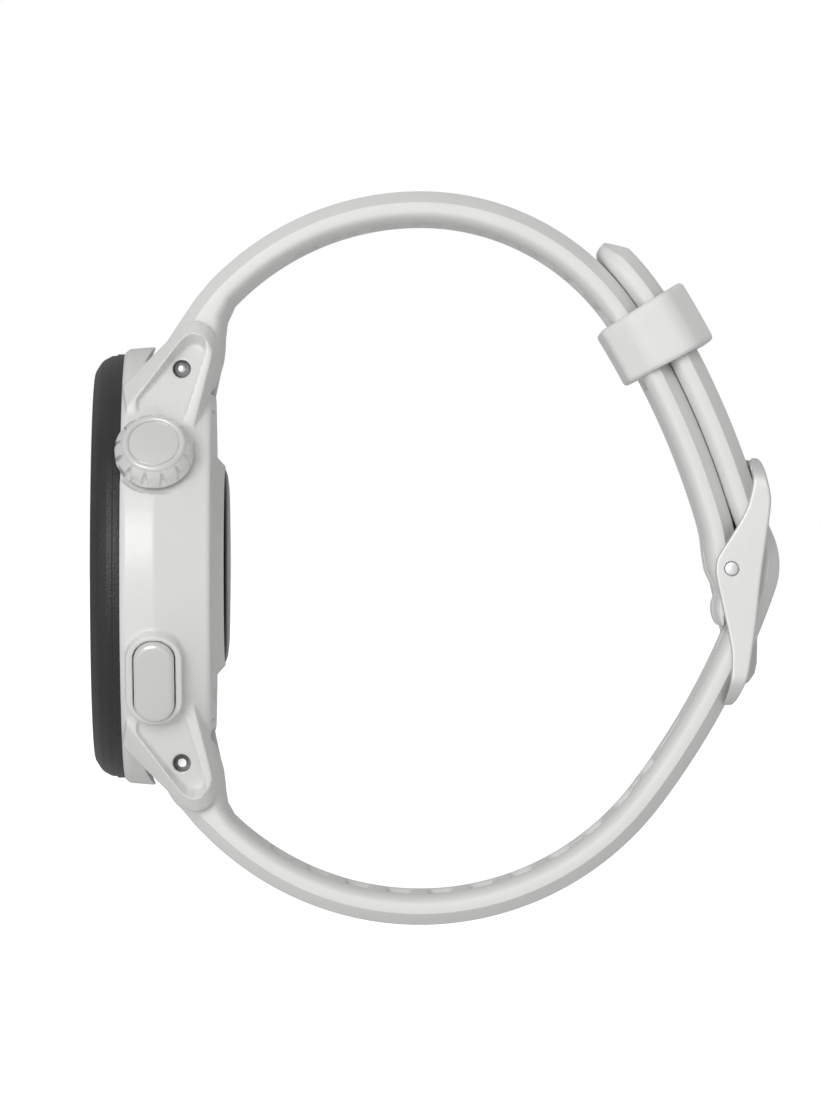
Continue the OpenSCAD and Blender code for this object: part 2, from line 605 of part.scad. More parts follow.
case_body();
bezel_ring();
lens_glass();
lens_gasket();
display_panel();
display_flex();
antenna_ring();
inner_frame();
main_board();
shield_can();
battery();
vibration_motor();
buzzer_disc();
pressure_sensor();
back_cover();
back_gasket();
back_screws();
sensor_window();
sensor_board();
sensor_leds();
photodiodes();
charging_contacts();
crown_cap();
crown_insert();
crown_shaft();
crown_seals();
crown_clip();
crown_tube();
crown_encoder();
crown_switch();
button_cap();
button_seal();
button_clip();
button_switch();
upper_bar_tube();
upper_bar_slider();
upper_bar_spring();
lower_bar_tube();
lower_bar_slider();
lower_bar_far_slider();
lower_bar_springs();
buckle_strap();
holes_strap();
keeper_loop();
buckle_frame();
buckle_pin();
buckle_tongue();
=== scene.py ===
import json
import math

import bmesh
import bpy
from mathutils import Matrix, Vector


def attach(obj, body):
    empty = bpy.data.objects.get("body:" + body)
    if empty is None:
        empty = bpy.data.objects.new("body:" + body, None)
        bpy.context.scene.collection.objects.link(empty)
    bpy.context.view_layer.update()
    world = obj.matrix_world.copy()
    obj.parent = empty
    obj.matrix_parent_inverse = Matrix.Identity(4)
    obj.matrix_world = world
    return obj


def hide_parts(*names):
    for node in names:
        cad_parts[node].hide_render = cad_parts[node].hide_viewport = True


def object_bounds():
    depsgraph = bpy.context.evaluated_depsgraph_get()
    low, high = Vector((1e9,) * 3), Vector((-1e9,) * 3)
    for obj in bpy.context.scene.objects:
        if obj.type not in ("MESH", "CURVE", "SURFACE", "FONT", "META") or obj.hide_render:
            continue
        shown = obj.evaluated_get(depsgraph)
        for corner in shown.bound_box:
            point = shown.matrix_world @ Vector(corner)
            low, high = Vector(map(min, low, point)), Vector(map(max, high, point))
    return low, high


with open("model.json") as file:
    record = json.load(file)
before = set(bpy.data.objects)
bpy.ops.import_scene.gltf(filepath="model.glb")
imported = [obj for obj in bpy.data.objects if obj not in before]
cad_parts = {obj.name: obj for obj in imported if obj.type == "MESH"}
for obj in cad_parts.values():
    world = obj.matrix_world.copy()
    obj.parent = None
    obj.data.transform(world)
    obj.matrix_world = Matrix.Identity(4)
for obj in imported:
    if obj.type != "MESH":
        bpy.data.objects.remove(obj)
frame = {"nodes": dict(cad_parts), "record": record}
CAD_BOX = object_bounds()
NODES = frame["nodes"]
MM = 0.001
CAMERA_X, CAMERA_Y, CAMERA_Z = 0.940, 0.01729, 0.00057
FRAME_HEIGHT = 0.10714

# ---- driving dimensions, in millimetres, the same as the CAD part's -------------------------

STRAP_HALF = 11.0
STRAP_T = 2.9
STRAP_PITCH = 2.95
PIN, PIN_R = (47.6, -0.25), 0.64
BAR = (-4.3, 18.6)
STRAP_BORE_R = 0.83
SLOT_LENGTH, SLOT_WIDTH = 4.4, 2.5
CROWN_H = 6.76
ARM_IN, ARM_OUT = 11.35, 12.95
KEEPER_CENTRE = (-28.587, -17.612)
KEEPER_ANGLE, KEEPER_SWEEP = 29.8, 4.3

# Each strap's centre line: its start (Y, Z), its heading, and its arcs as (radius, sweep).
# A positive radius turns left as seen from the crown side. The first strap's last arc stops
# a little short of the CAD part's, where the end that goes round the buckle's pin takes over.
STRAP_A = ((-1.26, 25.32), 48.3, [(-26.1, 48.5), (-23.2, 58.5), (-78.0, 14.7), (-14.6, 9.0)])
STRAP_B = ((-1.3, -24.333), -45.8, [(27.17, 98.6), (71.525, 18.258), (5.757, 43.304),
                                    (-45.0, 6.502), (80.95, 13.44), (26.15, 13.6)])

# ---- small geometry helpers ------------------------------------------------------------------


def arc_stations(start, heading, arcs, step):
    """Points along a chain of arcs as (y, z, heading in radians), about step apart."""
    y, z = start
    t = math.radians(heading)
    out = []
    for radius, sweep in arcs:
        turn = math.copysign(math.radians(sweep), radius)
        cy, cz = y - radius * math.sin(t), z + radius * math.cos(t)
        count = max(2, round(abs(radius * turn) / step))
        for i in range(count):
            a = t + turn * i / count
            out.append((cy + radius * math.sin(a), cz - radius * math.cos(a), a))
        t += turn
        y, z = cy + radius * math.sin(t), cz - radius * math.cos(t)
    out.append((y, z, t))
    return out


def spline(points, per_span):
    """A smooth curve through points of any dimension (Catmull-Rom)."""
    p = [points[0]] + list(points) + [points[-1]]
    out = []
    for i in range(1, len(p) - 2):
        for k in range(per_span):
            u = k / per_span
            out.append(tuple(
                0.5 * (2 * b + (c - a) * u + (2 * a - 5 * b + 4 * c - d) * u * u
                       + (3 * b - a - 3 * c + d) * u ** 3)
                for a, b, c, d in zip(p[i - 1], p[i], p[i + 1], p[i + 2])))
    out.append(tuple(points[-1]))
    return out


def fillet(points, radius, steps=6):
    """Rounds a closed outline's corners. radius is one number or one per point."""
    n = len(points)
    radii = radius if isinstance(radius, (list, tuple)) else [radius] * n
    out = []
    for i, (p, r) in enumerate(zip(points, radii)):
        if r <= 0:
            out.append(p)
            continue
        v = Vector(p)
        a, b = Vector(points[i - 1]) - v, Vector(points[(i + 1) % n]) - v
        half = a.angle(b) / 2
        if half > math.radians(89):
            out.append(p)
            continue
        cut = min(r / math.tan(half), 0.49 * a.length, 0.49 * b.length)
        r = cut * math.tan(half)
        centre = v + (a.normalized() + b.normalized()).normalized() * (r / math.sin(half))
        s, e = v + a.normalized() * cut - centre, v + b.normalized() * cut - centre
        turn = math.atan2(s.x * e.y - s.y * e.x, s.dot(e))
        for k in range(steps + 1):
            q = turn * k / steps
            out.append((centre.x + s.x * math.cos(q) - s.y * math.sin(q),
                        centre.y + s.x * math.sin(q) + s.y * math.cos(q)))
    return out


def watch_axis(u, v, w):
    """From (radial x, radial z, height above the skin) to (X, Y, Z)."""
    return (u, -w, v)


def side_of_case(angle):
    """Axes at the crown or the button: u runs round the case, v along Y, w points out."""
    a = math.radians(angle)

    def place(u, v, w):
        return (w * math.cos(a) - u * math.sin(a), v - CROWN_H, w * math.sin(a) + u * math.cos(a))
    return place


AT_CROWN = side_of_case(30)
AT_BUTTON = side_of_case(-30)


def clean_mesh(name, verts, faces, smooth_angle):
    """A mesh in metres with doubles merged, normals outwards and sharp edges marked."""
    mesh = bpy.data.meshes.new(name)
    mesh.from_pydata([tuple(c * MM for c in v) for v in verts], [], faces)
    bm = bmesh.new()
    bm.from_mesh(mesh)
    bmesh.ops.remove_doubles(bm, verts=bm.verts, dist=0.002 * MM)
    bmesh.ops.recalc_face_normals(bm, faces=bm.faces)
    bm.to_mesh(mesh)
    bm.free()
    mesh.shade_smooth()
    mesh.set_sharp_from_angle(angle=math.radians(smooth_angle))
    return mesh


def add_object(name, mesh):
    """Links a new object that holds mesh into the scene."""
    obj = bpy.data.objects.new(name, mesh)
    bpy.context.scene.collection.objects.link(obj)
    return obj


def loft(rings, closed_loop=False):
    """Joins rings of equal length with quads, and caps the ends unless the loft is a loop."""
    m = len(rings[0])
    verts = [v for ring in rings for v in ring]
    last = len(rings) if closed_loop else len(rings) - 1
    faces = []
    for i in range(last):
        for j in range(m):
            a, b = i * m + j, i * m + (j + 1) % m
            c, d = ((i + 1) % len(rings)) * m + (j + 1) % m, ((i + 1) % len(rings)) * m + j
            faces.append((a, b, c, d))
    if not closed_loop:
        faces.append(tuple(range(m - 1, -1, -1)))
        faces.append(tuple((len(rings) - 1) * m + j for j in range(m)))
    return verts, faces


def lathe(profile, place=watch_axis, segments=192, shape=None):
    """A closed (radius, height) outline turned about an axis. shape may change each radius."""
    rings = []
    for i in range(segments):
        a = 2 * math.pi * i / segments
        ring = []
        for r, h in profile:
            q = shape(r, h, a) if shape else r
            ring.append(place(q * math.cos(a), q * math.sin(a), h))
        rings.append(ring)
    return loft(rings, closed_loop=True)


def solid_disc(profile, place=watch_axis, segments=160):
    """A solid of revolution; the outline runs from the axis round to the axis again."""
    rings = [[place(r * math.cos(2 * math.pi * i / segments),
                    r * math.sin(2 * math.pi * i / segments), h) for i in range(segments)]
             for r, h in profile if r > 0]
    return loft(rings)


def racetrack(length, width, n=20):
    """Points round a slot shape centred on the origin, long along its first axis."""
    r, s = width / 2, (length - width) / 2
    out = []
    for side in (1, -1):
        for k in range(n + 1):
            a = -math.pi / 2 + math.pi * k / n
            out.append((side * (s + r * math.cos(a)), side * r * math.sin(a)))
    return out


def rounded_box(low, high, r, n=5):
    """A closed box mesh with rounded edges, as rings stacked along Z."""
    (x0, y0, z0), (x1, y1, z1) = low, high
    rings = []
    steps = [(-math.pi / 2 + math.pi / 2 * k / n, z0 + r) for k in range(n + 1)]
    steps += [(math.pi / 2 * k / n, z1 - r) for k in range(n + 1)]
    for a, zc in steps:
        inset = r * (1 - math.cos(a))
        z = zc + r * math.sin(a)
        corners = [(x1, y1, 0), (x0, y1, 90), (x0, y0, 180), (x1, y0, 270)]
        ring = []
        for cx, cy, start in corners:
            ox = cx - math.copysign(r, cx - (x0 + x1) / 2)
            oy = cy - math.copysign(r, cy - (y0 + y1) / 2)
            for k in range(n + 1):
                b = math.radians(start) + math.pi / 2 * k / n
                ring.append((ox + (r - inset) * math.cos(b), oy + (r - inset) * math.sin(b), z))
        rings.append(ring)
    return loft(rings)


def merged(*parts):
    """Several (verts, faces) pairs as one."""
    verts, faces = [], []
    for v, f in parts:
        base = len(verts)
        verts += v
        faces += [tuple(i + base for i in face) for face in f]
    return verts, faces


def applied(obj):
    """Replaces obj's mesh by the result of its modifiers."""
    deps = bpy.context.evaluated_depsgraph_get()
    mesh = bpy.data.meshes.new_from_object(obj.evaluated_get(deps))
    obj.modifiers.clear()
    obj.data = mesh


def carve(obj, cutter_parts, smooth_angle=35):
    """Cuts shapes out of obj."""
    verts, faces = merged(*cutter_parts)
    cutter = add_object("cutter", clean_mesh("cutter", verts, faces, 30))
    mod = obj.modifiers.new("cut", "BOOLEAN")
    mod.object = cutter
    mod.operation = "DIFFERENCE"
    mod.solver = "MANIFOLD"
    applied(obj)
    bpy.data.objects.remove(cutter)
    obj.data.shade_smooth()
    obj.data.set_sharp_from_angle(angle=math.radians(smooth_angle))


# ---- materials -------------------------------------------------------------------------------


def node_material(name, colour, rough, metallic=0.0, vary=0.03, grain=0.0006, bump=0.05,
                  bump_scale=0.0002, rough_vary=0.05, coat=0.0, coat_rough=0.1, sheen=0.0,
                  specular=0.5):
    """A surface with a slight cloudy colour change, a fine grain in its relief and roughness."""
    mat = bpy.data.materials.new(name)
    mat.use_nodes = True
    nodes, links = mat.node_tree.nodes, mat.node_tree.links
    bsdf = nodes["Principled BSDF"]
    coords = nodes.new("ShaderNodeTexCoord")

    def noise(size, detail):
        tex = nodes.new("ShaderNodeTexNoise")
        tex.inputs["Scale"].default_value = 1 / size
        tex.inputs["Detail"].default_value = detail
        links.new(coords.outputs["Object"], tex.inputs["Vector"])
        return tex.outputs["Fac"]

    ramp = nodes.new("ShaderNodeValToRGB")
    ramp.color_ramp.elements[0].position = 0.3
    ramp.color_ramp.elements[1].position = 0.7
    ramp.color_ramp.elements[0].color = [c * (1 - vary) for c in colour] + [1]
    ramp.color_ramp.elements[1].color = [min(1, c * (1 + vary)) for c in colour] + [1]
    links.new(noise(grain * 12, 3), ramp.inputs["Fac"])
    links.new(ramp.outputs["Color"], bsdf.inputs["Base Color"])
    spread = nodes.new("ShaderNodeMapRange")
    spread.inputs["To Min"].default_value = max(0.02, rough - rough_vary)
    spread.inputs["To Max"].default_value = min(1, rough + rough_vary)
    links.new(noise(grain, 4), spread.inputs["Value"])
    links.new(spread.outputs["Result"], bsdf.inputs["Roughness"])
    relief = nodes.new("ShaderNodeBump")
    relief.inputs["Strength"].default_value = bump
    relief.inputs["Distance"].default_value = bump_scale
    links.new(noise(bump_scale, 3), relief.inputs["Height"])
    links.new(relief.outputs["Normal"], bsdf.inputs["Normal"])
    bsdf.inputs["Metallic"].default_value = metallic
    bsdf.inputs["Coat Weight"].default_value = coat
    bsdf.inputs["Coat Roughness"].default_value = coat_rough
    bsdf.inputs["Sheen Weight"].default_value = sheen
    bsdf.inputs["Specular IOR Level"].default_value = specular
    return mat


MATERIALS = {
    "case_polymer": node_material("case_polymer", (0.77, 0.77, 0.755), 0.30, bump=0.08,
                                  bump_scale=0.00012, vary=0.012, grain=0.0004),
    "bezel_polymer": node_material("bezel_polymer", (0.022, 0.022, 0.024), 0.46, bump=0.35,
                                   bump_scale=0.00022, vary=0.12, grain=0.0003),
    "dial_glass": node_material("dial_glass", (0.008, 0.008, 0.010), 0.06, bump=0.01,
                                rough_vary=0.015, coat=0.6, coat_rough=0.03),
    "seal_rubber": node_material("seal_rubber", (0.03, 0.03, 0.03), 0.7),
    "display": node_material("display", (0.012, 0.013, 0.016), 0.15),
    "flex_film": node_material("flex_film", (0.55, 0.3, 0.06), 0.35),
    "contact_gold": node_material("contact_gold", (0.83, 0.62, 0.27), 0.25, metallic=1.0),
    "frame_polymer": node_material("frame_polymer", (0.06, 0.06, 0.065), 0.5),
    "board": node_material("board", (0.02, 0.12, 0.06), 0.35, vary=0.2),
    "spring_steel": node_material("spring_steel", (0.76, 0.76, 0.77), 0.33, metallic=1.0,
                                  bump_scale=0.0001),
    "cell_foil": node_material("cell_foil", (0.6, 0.6, 0.62), 0.4, metallic=0.8, bump=0.2),
    "cover_polymer": node_material("cover_polymer", (0.78, 0.78, 0.77), 0.35, bump=0.05,
                                   bump_scale=0.00012, vary=0.01),
    "sensor_black": node_material("sensor_black", (0.006, 0.006, 0.007), 0.15, bump=0.01,
                                  rough_vary=0.03, specular=0.08),
    "led_lens": node_material("led_lens", (0.2, 0.6, 0.25), 0.2),
    "diode": node_material("diode", (0.08, 0.04, 0.1), 0.15),
    "crown_metal": node_material("crown_metal", (0.83, 0.83, 0.82), 0.30, metallic=0.5,
                                 bump=0.06, bump_scale=0.0001, vary=0.012),
    "silicone": node_material("silicone", (0.80, 0.80, 0.785), 0.5, bump=0.10,
                              bump_scale=0.00016, vary=0.012, grain=0.0005, sheen=0.05),
    "buckle_metal": node_material("buckle_metal", (0.70, 0.70, 0.69), 0.5, metallic=0.6,
                                  bump=0.06, bump_scale=0.00012, vary=0.012),
}


def make(name, shape, slot, body, *nodes, smooth_angle=35):
    """A finished piece from (verts, faces): its mesh, material and body, with the CAD nodes that it
    stands for hidden.
    """
    obj = add_object(name, clean_mesh(name, *shape, smooth_angle))
    return finish_piece(obj, slot, body, *nodes)


def finish_piece(obj, slot, body, *nodes):
    """Gives a piece its material and its moving body, and hides the CAD nodes that it stands for."""
    obj.data.materials.clear()
    obj.data.materials.append(MATERIALS[slot])
    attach(obj, body)
    if nodes:
        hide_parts(*nodes)
    return obj


# ---- band ------------------------------------------------------------------------------------

BEVEL_DEPTH, BEVEL_WIDTH = 1.12, 2.0
ROUND_DEPTH, ROUND_WIDTH = 1.15, 2.6
GROOVE_PITCH, GROOVE_LENGTH, GROOVE_DEPTH = 4.2, 2.4, 0.45
TIP_STRAIGHT, TIP_CORNER = 1.75, 5.5


def quarter_round(u):
    """Falls from 1 to 0 along a quarter circle as u goes from 0 to 1."""
    return 1 - math.sqrt(max(0.0, 1 - (1 - min(1.0, u)) ** 2))


def strap_ring(outer, inner, narrow=0.0, groove=0.0):
    """One cross-section between a point on the outer face and one on the inner face.

    From the outer face the side goes down a flat bevel to a crisp ridge, a short upright flank
    and a round that runs into the inner face, which may dip into a groove between its edges.
    """
    (oy, oz), (iy, iz) = outer, inner
    t = math.hypot(oy - iy, oz - iz)
    uy, uz = (oy - iy) / t, (oz - iz) / t
    half = STRAP_HALF - narrow
    ridge = t - min(BEVEL_DEPTH, 0.4 * t)
    round_top = min(ROUND_DEPTH, 0.55 * ridge)
    edge = [(t, half - BEVEL_WIDTH - 1.0), (t, half - BEVEL_WIDTH - 0.2)]
    edge += [(t - 0.03, half - BEVEL_WIDTH), (t - 0.12, half - BEVEL_WIDTH + 0.2)]
    edge += [(ridge + 0.08, half - 0.13), (ridge + 0.02, half - 0.03), (ridge - 0.05, half)]
    for k in range(12):
        a = math.pi / 2 * k / 11
        edge.append((round_top * (1 - math.sin(a)), half - ROUND_WIDTH * (1 - math.cos(a))))
    edge += [(0, half - ROUND_WIDTH - 0.5)]
    ring = [(x, d) for d, x in edge]
    lip = half - ROUND_WIDTH - 0.9
    ring += [(lip, 0.35 * groove), (lip - 0.35, groove), (0.0, groove)]
    ring += [(0.35 - lip, groove), (-lip, 0.35 * groove)]
    ring += [(-x, d) for d, x in reversed(edge)]
    ring.append((0.0, t))
    return [(x, iy + uy * d, iz + uz * d) for x, d in ring]


def groove_at(s, first, last):
    """Depth of the cross groove in the inner face, s millimetres along the strap."""
    if s < first or s > last:
        return 0.0
    d = abs((s - first) % GROOVE_PITCH - GROOVE_PITCH / 2)
    u = min(1.0, max(0.0, (GROOVE_LENGTH / 2 + 0.25 - d) / 0.5))
    return GROOVE_DEPTH * u * u * (3 - 2 * u)


def tip_shape(d):
    """Outer offset, inner offset and narrowing of the free end, d millimetres before its tip.

    The bevel and the inner round go on around the rounded corners and across the end.
    """
    h = STRAP_T / 2
    return (h - BEVEL_DEPTH * max(0.0, 1 - d / BEVEL_WIDTH),
            ROUND_DEPTH * quarter_round(d / ROUND_WIDTH) - h,
            TIP_CORNER * quarter_round(d / TIP_CORNER))


def free_end(stations):
    """The stations with the straight end of the free tip added."""
    y, z, a = stations[-1]
    beyond = [TIP_STRAIGHT - d for d in (1.5, 1.2, 0.9, 0.6, 0.4, 0.25, 0.12, 0.04, 0.0)]
    return stations + [(y + u * math.cos(a), z + u * math.sin(a), a) for u in beyond]


def strap_rings(stations, outer_side, first, last, free=False):
    """The strap's uniform part. outer_side is +1 where the outer face is on the left."""
    lengths = [math.dist(p[:2], q[:2]) for p, q in zip(stations, stations[1:])]
    rings = []
    for k, (y, z, a) in enumerate(stations):
        high, low, narrow = STRAP_T / 2, -STRAP_T / 2, 0.0
        if free:
            high, low, narrow = tip_shape(sum(lengths[k:]))
        ny, nz = -math.sin(a) * outer_side, math.cos(a) * outer_side
        rings.append(strap_ring((y + ny * high, z + nz * high), (y + ny * low, z + nz * low),
                                narrow, groove_at(sum(lengths[:k]), first, last)))
    return rings


# The thick end at the lug, from the bar towards the strap, as (outer Y, Z, inner Y, Z).
ROOT = [(-6.0, 16.7, -3.9, 16.1), (-6.62, 17.4, -2.6, 16.35), (-6.85, 18.6, -1.75, 16.95),
        (-6.45, 20.0, -1.2, 18.0), (-5.75, 21.3, -0.75, 19.4), (-5.05, 22.4, -0.55, 20.8)]
UPPER_NECK = [(-4.15, 23.75, -0.5, 22.0), (-3.1, 25.3, -0.32, 23.4)]
LOWER_NECK = [(-4.35, 23.1, -0.45, 21.8), (-3.1, 24.6, -0.28, 22.8)]


def root_rings(neck, flip):
    """The rings of a strap's thick end. flip is -1 at the lower lug."""
    rings = [strap_ring((-5.2, flip * 16.25), (-4.6, flip * 16.12), narrow=0.6)]
    rings += [strap_ring((oy, flip * oz), (iy, flip * iz)) for oy, oz, iy, iz in
              spline(ROOT + neck, 5)]
    return rings


# The end of the other strap round the buckle's pin, written the same way.
BUCKLE_END = [(48.33, 1.5, 45.28, 1.4), (48.68, 0.6, 45.43, 0.4), (48.78, -0.5, 45.62, -0.5),
              (48.5, -1.6, 46.1, -1.55), (48.1, -2.8, 46.46, -2.65), (47.75, -3.7, 46.22, -3.5),
              (47.4, -4.5, 46.22, -4.5), (47.2, -5.1, 46.5, -5.3), (47.0, -5.5, 46.85, -5.7)]


def buckle_end_rings():
    """The rings round the pin, narrowing towards the loose flap at the end."""
    pairs = spline(BUCKLE_END, 5)
    n = len(pairs)
    return [strap_ring(p[0:2], p[2:4], narrow=0.6 * max(0, k - 0.55 * n) / n)
            for k, p in enumerate(pairs)]


def slot_cutter(centre, angle, r0, r1, length, width):
    """A slot with round ends, cut along a radius in the side view."""
    a = math.radians(angle)

    def place(u, v, w):
        return (v, centre[0] + w * math.cos(a) - u * math.sin(a),
                centre[1] + w * math.sin(a) + u * math.cos(a))
    outline = racetrack(length, width, 12)
    return loft([[place(u, v, r) for u, v in outline] for r in (r0, r1)])


def lever_cutter(x0, x1, flip):
    """The slot that a spring bar's release lever stands in. flip is -1 at the lower lug."""
    zs = sorted((flip * (BAR[1] - 0.7), flip * (BAR[1] + 0.7)))
    return rounded_box((x0, BAR[0] + 0.9, zs[0]), (x1, 1.0, zs[1]), 0.3)


def bar_bore(flip):
    """What the spring bar's hole takes out of a strap. flip is -1 at the lower lug."""
    return rod_solid((BAR[0], flip * BAR[1]), STRAP_BORE_R, -12, 12)


def build_straps():
    """Both straps: the buckle's side, then the side with the holes."""
    rings = root_rings(UPPER_NECK, 1) + strap_rings(arc_stations(*STRAP_A, 0.3), 1, 8.0, 52.0)[3:]
    rings += buckle_end_rings()
    strap = make("buckle_side_strap", loft(rings), "silicone", "band", "buckle_strap")
    carve(strap, [rounded_box((-1.3, 44, -9), (1.3, 52, 1.7), 0.4), lever_cutter(-10.6, -8.0, 1),
                  bar_bore(1)])
    rings = root_rings(LOWER_NECK, -1)
    rings += strap_rings(free_end(arc_stations(*STRAP_B, 0.3)), -1, 5.0, 50.0, free=True)[3:]
    strap = make("holes_side_strap", loft(rings), "silicone", "band", "holes_strap")
    cuts = [slot_cutter((44.4, -3.3), -14, 0.9, 8.5, 8.7, SLOT_WIDTH), lever_cutter(-10.3, -7.7, -1),
            bar_bore(-1)]
    cuts += [slot_cutter((18.17, -5.4), a, 24, 31, SLOT_LENGTH, SLOT_WIDTH)
             for a in (-52, -38, -24)]
    cuts += [slot_cutter(KEEPER_CENTRE, a, 78.5, 85, SLOT_LENGTH, SLOT_WIDTH)
             for a in (19, 24, 29, 34)]
    carve(strap, cuts)


def build_upper_bar():
    """The fixed end of the upper spring bar: a tube with a stepped tip in the crown side's lug."""
    steps = [(0.5, -2.0), (0.5, -7.6), (0.78, -7.6), (0.78, 11.2), (0.74, 11.36), (0.62, 11.5),
             (0.46, 11.58), (0.40, 11.62), (0.40, 11.98), (0.36, 12.06), (0.28, 12.1)]
    tube = solid_disc(steps, lambda u, v, w: (w, BAR[0] + u, BAR[1] + v), 48)
    make("upper_bar", tube, "spring_steel", "band", "upper_bar_tube")


def keeper_outline(grow, inner_cut, outer_cut, soft):
    """The keeper's section as (radius, x). Each cut takes (radial, across) off its corners."""
    r0 = 78 - STRAP_T / 2 - 0.1 - 0.9 * grow
    r1 = 78 + STRAP_PITCH + STRAP_T / 2 + 0.3 + 1.1 * grow
    half = STRAP_HALF + 0.2 + grow
    (d0, a0), (d1, a1) = inner_cut, outer_cut
    points = [(r0, a0 - half), (r0 + d0, -half), (r1 - d1, -half), (r1, a1 - half),
              (r1, half - a1), (r1 - d1, half), (r0 + d0, half), (r0, half - a0)]
    return fillet(points, [soft * k for k in (4, 8, 6, 1, 1, 6, 8, 4)], 8)


def build_keeper():
    """The loop round both straps, as an outside with soft edges and an opening."""
    def ring(angle, grow, *corners):
        a = math.radians(KEEPER_ANGLE + angle)
        return [(x, KEEPER_CENTRE[0] + r * math.cos(a), KEEPER_CENTRE[1] + r * math.sin(a))
                for r, x in keeper_outline(grow, *corners)]
    wall, h, edge = 1.4, KEEPER_SWEEP / 2, 0.45
    soft = math.degrees(edge / 79)
    turns = [math.pi / 2 * k / 6 for k in range(7)]
    outside = [(soft * (1 - math.sin(q)) - h, wall - edge * (1 - math.cos(q))) for q in turns[::-1]]
    outside += [(soft - h + 2 * (h - soft) * k / 8, wall) for k in range(1, 8)]
    outside += [(h - soft * (1 - math.sin(q)), wall - edge * (1 - math.cos(q))) for q in turns]
    rings = [ring(angle, grow, (2.8, 2.2), (2.1, 3.0), 0.35) for angle, grow in outside]
    rings += [ring(h - 2 * h * k / 8, 0.0, (1.0, 1.3), (1.0, 1.8), 0.1) for k in range(9)]
    make("keeper", loft(rings, closed_loop=True), "silicone", "keeper", "keeper_loop")


# ---- buckle ----------------------------------------------------------------------------------

# The side arm's two edges at heights along it, as (Z, left Y, right Y).
ARM_EDGES = [(10.2, 49.6, 49.95), (10.1, 49.52, 50.15), (9.7, 49.5, 50.48), (8.9, 49.62, 50.8),
             (8.0, 49.66, 51.03), (7.2, 49.53, 51.2), (6.4, 49.35, 51.32), (5.5, 49.08, 51.28),
             (4.0, 48.3, 51.1), (2.4, 47.3, 50.88), (0.9, 46.35, 50.67), (0.1, 46.13, 50.55),
             (-0.9, 46.13, 50.42), (-2.1, 46.37, 50.28), (-3.8, 46.75, 50.1), (-5.46, 47.12, 49.92),
             (-8.0, 47.6, 49.57), (-9.9, 47.61, 49.28), (-11.0, 47.5, 48.95), (-12.0, 47.28, 48.46),
             (-12.7, 47.03, 48.03), (-13.05, 46.94, 47.75), (-13.15, 47.05, 47.5)]
TOP_BAR = [(49.78, 8.2), (49.48, 9.2), (49.42, 9.8), (49.68, 10.15), (50.3, 10.0), (50.7, 9.2),
           (50.75, 8.5), (50.3, 8.1)]
LOW_BAR = [(48.0, -12.85), (48.4, -12.25), (48.85, -11.2), (48.7, -10.85), (48.4, -10.95),
           (48.2, -11.5), (47.66, -12.5), (47.66, -12.9)]
BEND_R = 2.8


def inset_outline(points, d):
    """The outline moved inwards by d."""
    n = len(points)
    area = sum(points[i - 1][0] * p[1] - p[0] * points[i - 1][1] for i, p in enumerate(points))
    inward = 1 if area > 0 else -1
    out = []
    for i, p in enumerate(points):
        a = (Vector(p) - Vector(points[i - 1])).normalized()
        b = (Vector(points[(i + 1) % n]) - Vector(p)).normalized()
        t = (a + b).normalized()
        k = d * inward / max(0.6, math.cos(a.angle(b, 0) / 2))
        out.append((p[0] - t.y * k, p[1] + t.x * k))
    return out


def rounded_ends(x0, x1, edge, steps):
    """Stations (x, inset) along a bar or plate whose ends are rounded off."""
    for k in range(steps + 1):
        q = math.pi / 2 * (1 - k / steps)
        yield x0 + edge * (1 - math.cos(math.pi / 2 - q)), edge * (1 - math.cos(q))
    for k in range(steps + 1):
        q = math.pi / 2 * k / steps
        yield x1 - edge * (1 - math.cos(math.pi / 2 - q)), edge * (1 - math.cos(q))


def plate_solid(outline, x0, x1, edge, steps=4):
    """An outline in the side view made into a plate with rounded edges."""
    return loft([[(x, *p) for p in inset_outline(outline, inset)]
                 for x, inset in rounded_ends(x0, x1, edge, steps)])


def rod_solid(centre, radius, x0, x1, round_end=0.0, n=40, steps=5):
    """A round bar along X with rounded ends. centre is its (Y, Z)."""
    cy, cz = centre
    rings = []
    for x, inset in rounded_ends(x0, x1, round_end, steps):
        turns = [2 * math.pi * i / n for i in range(n)]
        rings.append([(x, cy + (radius - inset) * math.cos(a), cz + (radius - inset) * math.sin(a))
                      for a in turns])
    return loft(rings)


TONGUE = [(48.5, 0.1), (49.5, -1.6), (50.45, -3.9), (50.62, -5.0), (50.45, -6.6), (50.42, -8.0),
          (50.39, -9.28), (50.17, -10.3), (49.6, -11.1), (49.15, -11.35), (49.2, -10.6),
          (49.4, -9.4), (49.5, -8.0), (49.55, -6.6), (49.7, -5.1), (49.55, -4.2), (48.6, -2.2),
          (47.9, -1.35)]


def arm_bend(z):
    """How far the arm has curved inwards at a height, where it turns into a crossbar."""
    past = max(0.0, z - 7.5, -10.45 - z)
    return BEND_R - math.sqrt(BEND_R ** 2 - past ** 2)


def arm_solid(side):
    """One side arm of the frame. side is +1 or -1."""
    rings = []
    for z, left, right in spline(ARM_EDGES, 3):
        shift = arm_bend(z)
        low, high = ARM_IN - shift, ARM_OUT - shift
        flat = min(0.32, 0.3 * (right - left))
        box = [(left, low), (right, low), (right, high), (right - flat, high), (left + flat, high),
               (left, high)]
        rings.append([(side * x, y, z)
                      for y, x in fillet(box, [0.1, 0.1, 0.26, 0, 0, 0.26], 4)])
    return loft(rings)


